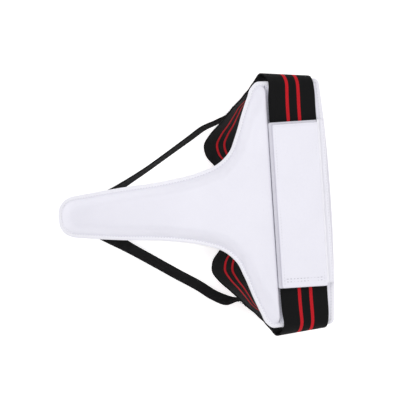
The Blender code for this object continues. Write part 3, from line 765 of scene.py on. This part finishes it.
def binding_profile(low, high):
    """The binding's section, as how far it lies past the guard's outline and how high above the guard's back: in
    under the seam allowance, round a soft fold and back over the top."""
    fold = np.radians(np.linspace(-80, 80, 9))
    middle, half = (low + high) / 2, (high - low) / 2
    below = ((1.0, 0.0002), (0.75, -0.0001), (0.4, 0.0))
    above = ((0.4, 0.0), (0.72, 0.0001), (0.86, -0.0001), (1.0, -0.0001))
    return [
        *((-BINDING_REACH * share, low + up) for share, up in below),
        *((0.0009 * math.cos(turn), middle + half * math.sin(turn)) for turn in fold),
        *((-BINDING_REACH * share, high + up) for share, up in above),
    ]


def make_binding(body):
    """Tape folded over the raw edge all round, and a row of stitches through both its sides."""
    loop = closed_loop(body, 420)
    outward = outward_of(loop)
    low, high = -BINDING_GAP - BINDING / 2, FLANGE_TOP + BINDING_GAP / 2
    profile = binding_profile(low, high)
    points = np.stack([raised(loop + outward * across, up) for across, up in profile], axis=1)
    made = linked("edge_tape", sheet_mesh("edge_tape", points, closed_rows=True), WHITE_TAPE)
    solidified(made, BINDING * 0.8, 0)
    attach(made, "guard")
    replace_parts(made, "edge_binding", "tip_binding")
    seam = loop - outward * BINDING_REACH * 0.72
    closed = np.vstack([seam, seam[:1]])
    lines = [raised(closed, up) for up in (high + BINDING * 0.42, low - BINDING * 0.42)]
    stitches("edge_stitches", lines, WHITE_THREAD, "guard")


def make_seam():
    """A row of stitches on either side of the seam between the saddle and the yoke."""
    y = np.linspace(-WING_HALF_WIDTH + 0.004, WING_HALF_WIDTH - 0.004, 120)
    middle = np.full(120, YOKE_X - SEAM_GAP / 2)
    up = FLANGE_TOP + 0.00035
    lines = [raised(np.column_stack([middle + off, y]), up) for off in (-0.0018, 0.0018)]
    stitches("seam_stitches", lines, WHITE_THREAD, "guard")


# ---- The closure ----
def rounded_plan(size, corner, cells):
    """A table of x and y over a rectangle with rounded corners, closer together near its sides, and each point's
    distance from the side."""
    u, v = (np.linspace(-1, 1, count) for count in cells)
    u, v = (np.sign(t) * (1 - (1 - np.abs(t)) ** 1.35) for t in (u, v))
    x, y = np.meshgrid(u * size[0] / 2, v * size[1] / 2, indexing="ij")
    # Points past the corner's arc are drawn back onto it.
    beyond_x = np.maximum(np.abs(x) - (size[0] / 2 - corner), 0)
    beyond_y = np.maximum(np.abs(y) - (size[1] / 2 - corner), 0)
    radius = np.hypot(beyond_x, beyond_y)
    shrink = np.where(radius > 0, np.maximum(beyond_x, beyond_y) / np.maximum(radius, 1e-9), 1)
    x = x - np.sign(x) * beyond_x * (1 - shrink)
    y = y - np.sign(y) * beyond_y * (1 - shrink)
    return x, y, corner - np.maximum(beyond_x, beyond_y)


def closed_mesh(name, upper, lower):
    """A closed mesh of two sheets that share their border."""
    bm = bmesh.new()
    for points, flip in ((upper, False), (lower, True)):
        mesh = sheet_mesh(name, points)
        if flip:
            mesh.flip_normals()
        bm.from_mesh(mesh)
        bpy.data.meshes.remove(mesh)
    bmesh.ops.remove_doubles(bm, verts=bm.verts[:], dist=2e-6)
    bmesh.ops.recalc_face_normals(bm, faces=bm.faces[:])
    mesh = bpy.data.meshes.new(name)
    bm.to_mesh(mesh)
    bm.free()
    return mesh


def cushion(name, size, thickness, centre, surface, body, corner=0.0022, cells=(60, 160), dip=0.0, lift=None):
    """A flat sewn panel with rounded edges. dip flattens its underside, and lift(x, y) raises its top."""
    x, y, inset = rounded_plan(size, corner, cells)
    side = np.clip(inset / np.minimum(thickness / 2, corner), 0, 1)
    half = thickness / 2 * np.sqrt(np.maximum(1 - (1 - side) ** 2, 0))
    top = half + (lift(x, y) if lift else 0)
    upper = np.stack([x, y, top], axis=-1) + centre
    lower = np.stack([x, y, -half * (1 - dip)], axis=-1) + centre
    return linked(name, closed_mesh(name, upper, lower), surface, body)


END_ROWS = (0.0096, 0.0066)  # the two rows of stitches from the flap's right end
SIDE_ROW = 0.0030  # the row of stitches from each long side


def flap_relief(x, y):
    """The flap's top: a rolled left end, a sewn channel near its right end, and a slight crown."""
    left = FLAP_SIZE[1] / 2 - y
    right = FLAP_SIZE[1] / 2 + y
    free = FLAP_SIZE[0] / 2 + x
    lip = 0.0006 * np.exp(-(((left - 0.0022) / 0.0012) ** 2)) - 0.0003 * np.exp(-(((left - 0.0046) / 0.0010) ** 2))
    channel = -0.0005 * np.exp(-(((right - END_ROWS[0]) / 0.0009) ** 2))
    fold = -0.0003 * np.exp(-(((right - END_ROWS[1]) / 0.0007) ** 2))
    sewn = -0.0002 * np.exp(-(((free - SIDE_ROW) / 0.0007) ** 2))
    middle = (1 - (2 * x / FLAP_SIZE[0]) ** 2) * (1 - (2 * y / FLAP_SIZE[1]) ** 2)
    return lip + channel + fold + sewn + 0.0006 * middle + 0.00012 * np.sin(y * 95 + 2 * np.sin(x * 160))


FACING_MARGIN = (0.0042, 0.0022)  # how far the facing shows past the flap's free side and its left end, where its grey is painted shade


def make_flap():
    level = BACK_HEIGHT + FLAP_LEVEL
    size = (FLAP_SIZE[0], FLAP_SIZE[1] - FACING_MARGIN[1])
    centre = (FLAP_X, FLAP_Y - FACING_MARGIN[1] / 2, level + 0.0004)
    panel = cushion("flap_panel", size, 0.0026, centre, WHITE, "flap", dip=0.4, lift=flap_relief)
    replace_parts(panel, "flap_cover", "flap_stiffener")
    size = (FLAP_SIZE[0] + FACING_MARGIN[0], FLAP_SIZE[1])
    centre = (FLAP_X - FACING_MARGIN[0] / 2, FLAP_Y, level - 0.00135)
    # Its grey colour is painted shade beside the flap's edges.
    facing = cushion("flap_facing", size, 0.0010, centre, FACING_PAINTED_SHADE, "flap", cells=(50, 120))
    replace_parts(facing, "flap_backing")
    tape_x = FLAP_FREE_X + 0.0020
    loop_level = BACK_HEIGHT + BAND_TOP + GAP + LOOP_TAPE[2] / 2
    tapes = (
        ("hook_tape", HOOK_TAPE, level - 0.00245, HOOKS, "flap", "flap_hook_tape"),
        ("loop_tape", LOOP_TAPE, loop_level, LOOPS, "guard", "waistband_loop_tape"),
    )
    for name, (wide, long, thick), z, surface, body, stood_for in tapes:
        centre = (tape_x + wide / 2, 0, z)
        tape = cushion(name, (wide, long), thick, centre, surface, body, corner=0.0012, cells=(30, 120))
        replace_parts(tape, stood_for)
        side = thick / 2 if body == "guard" else -thick / 2
        edges = box_line(centre[0], 0, z + side, wide / 2 - 0.0012, long / 2 - 0.0012)
        stitches(name + "_stitches", (edges,), WHITE_THREAD, body, radius=0.00022)
    make_flap_stitches(level)
    make_hinge_strip(level)


def box_line(x, y, z, half_x, half_y):
    """The corners of a level rectangle, as a closed line."""
    corners = ((-1, -1), (1, -1), (1, 1), (-1, 1), (-1, -1))
    return [(x + sx * half_x, y + sy * half_y, z) for sx, sy in corners]


def make_flap_stitches(level):
    """A double row near the flap's right end, and one row along each long side."""
    top = level + 0.0015
    low_end, high_end = FLAP_Y - FLAP_SIZE[1] / 2, FLAP_Y + FLAP_SIZE[1] / 2
    across = np.linspace(FLAP_FREE_X + 0.0045, FLAP_HINGE_X - 0.0045, 20)
    rows = [np.column_stack([across, np.full(20, low_end + inset), np.full(20, top)]) for inset in END_ROWS]
    along = np.linspace(low_end + 0.003, high_end - 0.006, 60)
    sides = [
        np.column_stack([np.full(60, x), along, np.full(60, top)])
        for x in (FLAP_FREE_X + SIDE_ROW, FLAP_HINGE_X - SIDE_ROW)
    ]
    stitches("flap_end_stitches", rows, GREY_THREAD, "flap", pitch=0.0036)
    stitches("flap_side_stitches", sides, WHITE_THREAD, "flap", radius=0.00022)


def make_hinge_strip(level):
    """The strip that joins the flap to the yoke: sewn flat on the yoke, up beside the band and in under the flap."""
    foot = BACK_HEIGHT + YOKE_TOP + 0.0007
    curl = [
        (HINGE[0] + 0.0060, foot),
        (HINGE[0] + 0.0046, foot + 0.0001),
        (HINGE[0] + 0.0030, foot),
        (HINGE[0] + 0.0012, foot + 0.0004),
        (HINGE[0] + 0.0003, foot + 0.0018),
        (HINGE[0] + 0.0001, foot + 0.0036),
        (HINGE[0] + 0.0001, level - 0.0008),
        (HINGE[0] - 0.0004, level + 0.0002),
        (HINGE[0] - 0.0016, level + 0.0006),
    ]
    curl = smooth_rows([(x, z, 0) for x, z in curl], 28)[:, :2]
    y = np.linspace(-1, 1, 120) * (FLAP_SIZE[1] / 2 - 0.0010)
    ripple = 0.00010 * np.sin(y * 130 + np.sin(y * 47))
    points = np.stack([np.column_stack([np.full(120, x) + ripple, y, np.full(120, z)]) for x, z in curl], axis=0)
    strip = linked("flap_hinge_strip", sheet_mesh("flap_hinge_strip", points), WHITE_TAPE)
    solidified(strip, BINDING, 0)
    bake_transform(strip)
    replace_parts(strip, "flap_hinge_tape")
    sewn = HINGE[0] + 0.0046
    line = np.column_stack([np.full(60, sewn), np.linspace(y[0], y[-1], 60), np.full(60, foot + 0.0005)])
    stitches("hinge_stitches", (line,), WHITE_THREAD, "guard", radius=0.00025)


# ---- The elastics ----
THREAD_PROUD = 0.0001  # the middle of a stitch above the webbing's face


def make_waistband():
    half = waistband_rows(2 * STATIONS + 1)
    station = np.arange(len(half)) / 2
    for depth, middle, spread in FOLD_GATHERS:
        half[:, 0] += depth * np.exp(-(((station - middle) / spread) ** 2))
    rows = np.vstack([half[::-1] * (1, -1, 1, 1, -1, 1), half[1:]])
    band = webbing("waistband", rows, BAND_THICKNESS, BAND)
    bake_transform(band)
    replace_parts(band, "waistband_front", "waistband_side_left", "waistband_side_right", "waistband_rear")
    make_band_join(half[-1, :3], half[-1, 3:])


def make_band_join(near, far):
    """Rows of stitches across the waistband, where its two ends are sewn together behind the guard."""
    normal = np.cross(far - near, (0, 1, 0)) / BAND_WIDTH
    lines = []
    for y in (-0.0065, -0.0025, 0.0025, 0.0065):
        for face in (-1, 1):
            shift = normal * face * (BAND_THICKNESS / 2 + THREAD_PROUD) + (0, y, 0)
            lines.append([near + share * (far - near) + shift for share in (0.05, 0.95)])
    stitches("waistband_join_stitches", lines, BLACK_THREAD, "waist_loop")


def sewn_box(rows, first, last, away):
    """A closed line on the strap's face that looks towards away: across it at two rows, and along both edges."""
    near, far = rows[:, :3], rows[:, 3:]
    normal = np.cross(near[last] - near[first], far[first] - near[first])
    normal *= np.sign(normal @ np.array(away)) / np.linalg.norm(normal)
    corners = ((first, 0.14), (first, 0.86), (last, 0.86), (last, 0.14), (first, 0.14))
    on_face = normal * (STRAP_THICKNESS / 2 + THREAD_PROUD)
    return [near[row] + share * (far[row] - near[row]) + on_face for row, share in corners]


def make_leg_straps():
    band_rows = waistband_rows(STATIONS + 1)
    for word, table, side in (("left", LEFT_STRAP, 1), ("right", RIGHT_STRAP, -1)):
        rows = strap_rows(band_rows, table, side, 150)
        strap = webbing("leg_elastic_" + word, rows, STRAP_THICKNESS, STRAP)
        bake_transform(strap)
        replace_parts(strap, "leg_strap_" + word)
        ends = (("tongue", "guard", 3, 9, (0, 0, -1)), ("band", "waist_loop", -4, -10, (-1, 0, 0)))
        for place, body, first, last, away in ends:
            box = sewn_box(rows, first, last, away)
            name = "strap_stitches_" + word + "_" + place
            stitches(name, (box,), BLACK_THREAD, body, pitch=0.0026, length=0.0018)


# ---- Camera, floor and light ----
CAMERA = (0.0154, 0.0005, 4.06)  # straight above the guard
CAMERA_TURN = -3.7
LENS = 325.2
FLOOR_LEVEL = -0.0005
FLOOR_GLOW = 0.5
WORLD_LIGHT = 0.54
LAMPS = (("key", (-0.6, 0.4, 1.7), 1.8, 13.8), ("fill", (1.1, -0.5, 1.4), 2.0, 9.1))  # place, size and power


def make_floor():
    bm = bmesh.new()
    bmesh.ops.create_grid(bm, x_segments=2, y_segments=2, size=4)
    mesh = bpy.data.meshes.new("floor")
    bm.to_mesh(mesh)
    bm.free()
    surface, shader = shader_of("pale_floor", 0.9, (0.93, 0.93, 0.93))
    shader.inputs["Emission Color"].default_value = (1, 1, 1, 1)
    shader.inputs["Emission Strength"].default_value = FLOOR_GLOW
    mesh.materials.append(surface)
    floor = bpy.data.objects.new("floor", mesh)
    bpy.context.scene.collection.objects.link(floor)
    floor.location.z = FLOOR_LEVEL


def make_lights():
    world = bpy.data.worlds.new("studio")
    world.use_nodes = True
    world.node_tree.nodes["Background"].inputs[0].default_value = (1.0, 1.0, 1.0, 1)
    world.node_tree.nodes["Background"].inputs[1].default_value = WORLD_LIGHT
    bpy.context.scene.world = world
    for name, place, size, power in LAMPS:
        lamp = bpy.data.lights.new(name, "AREA")
        lamp.energy = power
        lamp.size = size
        held = bpy.data.objects.new(name, lamp)
        held.location = place
        held.rotation_euler = (-Vector(place)).to_track_quat("-Z", "Y").to_euler()
        bpy.context.scene.collection.objects.link(held)


def make_camera():
    bpy.context.scene.view_settings.view_transform = "Standard"
    lens = bpy.data.cameras.new("camera")
    lens.lens = LENS
    lens.sensor_width = 36
    camera = bpy.data.objects.new("camera", lens)
    camera.location = CAMERA
    camera.rotation_euler = (0, 0, math.radians(CAMERA_TURN))
    bpy.context.scene.collection.objects.link(camera)
    bpy.context.scene.camera = camera


def main():
    make_floor()
    make_lights()
    make_camera()
    saddle, yoke = saddle_outline(), yoke_outline()
    body = np.vstack([saddle[:-1], yoke])
    make_covers(saddle, yoke)
    make_back_panel(body)
    make_binding(body)
    make_seam()
    make_flap()
    make_waistband()
    make_leg_straps()


main()
